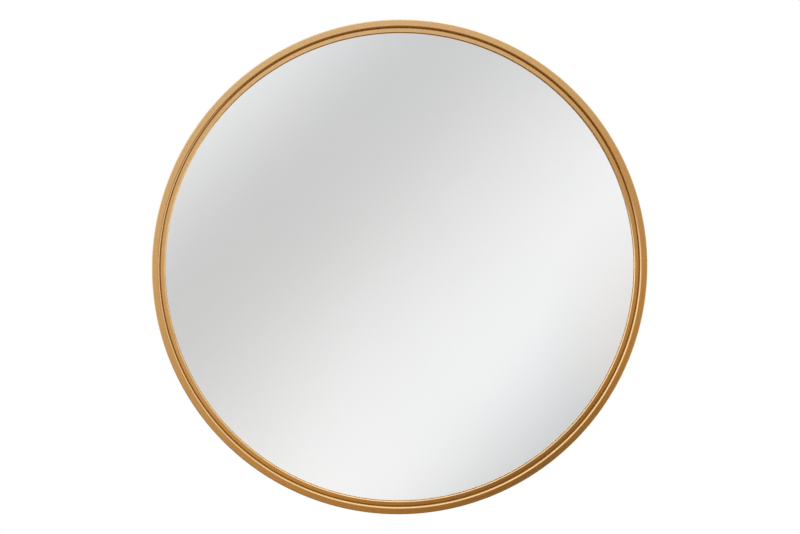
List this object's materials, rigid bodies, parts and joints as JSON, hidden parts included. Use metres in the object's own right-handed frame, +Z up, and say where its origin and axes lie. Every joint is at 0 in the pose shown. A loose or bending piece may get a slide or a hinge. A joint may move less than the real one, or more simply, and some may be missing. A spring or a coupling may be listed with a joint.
{
  "type": "round wall mirror",
  "caption": "Round wall mirror in a stepped satin gold metal frame, with a recessed pane, a board back held by turn buttons, and swinging hanger rings.",
  "frame": {"origin": "centre of the circle, on the wall plane that the bumpers' outer faces lie in", "axes": "+Z up, the pane faces -Y, and +Y points into the wall"},
  "size_m": [0.7999, 0.0265, 0.8],
  "materials": {
    "satin_gold": "satin, fine brushed, gold anodised",
    "foam_tape": "matte closed-cell foam",
    "clear_glass": "polished float glass",
    "silvering": "mirror, painted on its back",
    "back_film": "woven safety film",
    "packing_foam": "soft packing foam",
    "fibreboard": "sanded medium-density fibreboard",
    "zinc_steel": "bright zinc plate",
    "bumper_rubber": "matte moulded rubber"
  },
  "bodies": {
    "mirror": {"outer_rim": "satin_gold", "inner_ledge": "satin_gold", "glazing_tape": "foam_tape", "mirror_glass": "clear_glass", "silver_coat": "silvering", "safety_film": "back_film", "foam_sheet": "packing_foam", "backing_board": "fibreboard", "turn_button_screws": "zinc_steel", "hanger_strap_left": "zinc_steel", "hanger_strap_right": "zinc_steel", "hanger_screws": "zinc_steel", "wall_bumpers": "bumper_rubber"},
    "turn_button_1": {"turn_button_1": "zinc_steel"},
    "turn_button_2": {"turn_button_2": "zinc_steel"},
    "turn_button_3": {"turn_button_3": "zinc_steel"},
    "turn_button_4": {"turn_button_4": "zinc_steel"},
    "turn_button_5": {"turn_button_5": "zinc_steel"},
    "turn_button_6": {"turn_button_6": "zinc_steel"},
    "turn_button_7": {"turn_button_7": "zinc_steel"},
    "turn_button_8": {"turn_button_8": "zinc_steel"},
    "hanger_ring_left": {"hanger_ring_left": "zinc_steel"},
    "hanger_ring_right": {"hanger_ring_right": "zinc_steel"}
  },
  "joints": [
    {"name": "turn_button_1_pivot", "type": "hinge", "parent": "mirror", "child": "turn_button_1", "pos_m": [0.15078, -0.0065, 0.36401], "axis": [0, 1, 0], "continuous": true},
    {"name": "turn_button_2_pivot", "type": "hinge", "parent": "mirror", "child": "turn_button_2", "pos_m": [0.36401, -0.0065, 0.15078], "axis": [0, 1, 0], "continuous": true},
    {"name": "turn_button_3_pivot", "type": "hinge", "parent": "mirror", "child": "turn_button_3", "pos_m": [0.36401, -0.0065, -0.15078], "axis": [0, 1, 0], "continuous": true},
    {"name": "turn_button_4_pivot", "type": "hinge", "parent": "mirror", "child": "turn_button_4", "pos_m": [0.15078, -0.0065, -0.36401], "axis": [0, 1, 0], "continuous": true},
    {"name": "turn_button_5_pivot", "type": "hinge", "parent": "mirror", "child": "turn_button_5", "pos_m": [-0.15078, -0.0065, -0.36401], "axis": [0, 1, 0], "continuous": true},
    {"name": "turn_button_6_pivot", "type": "hinge", "parent": "mirror", "child": "turn_button_6", "pos_m": [-0.36401, -0.0065, -0.15078], "axis": [0, 1, 0], "continuous": true},
    {"name": "turn_button_7_pivot", "type": "hinge", "parent": "mirror", "child": "turn_button_7", "pos_m": [-0.36401, -0.0065, 0.15078], "axis": [0, 1, 0], "continuous": true},
    {"name": "turn_button_8_pivot", "type": "hinge", "parent": "mirror", "child": "turn_button_8", "pos_m": [-0.15078, -0.0065, 0.36401], "axis": [0, 1, 0], "continuous": true},
    {"name": "hanger_ring_left_swing", "type": "hinge", "parent": "mirror", "child": "hanger_ring_left", "pos_m": [-0.19997, -0.00395, 0.19997], "axis": [1, 0, 0], "range_deg": [0, 180]},
    {"name": "hanger_ring_right_swing", "type": "hinge", "parent": "mirror", "child": "hanger_ring_right", "pos_m": [0.19997, -0.00395, 0.19997], "axis": [1, 0, 0], "range_deg": [0, 180]}
  ]
}
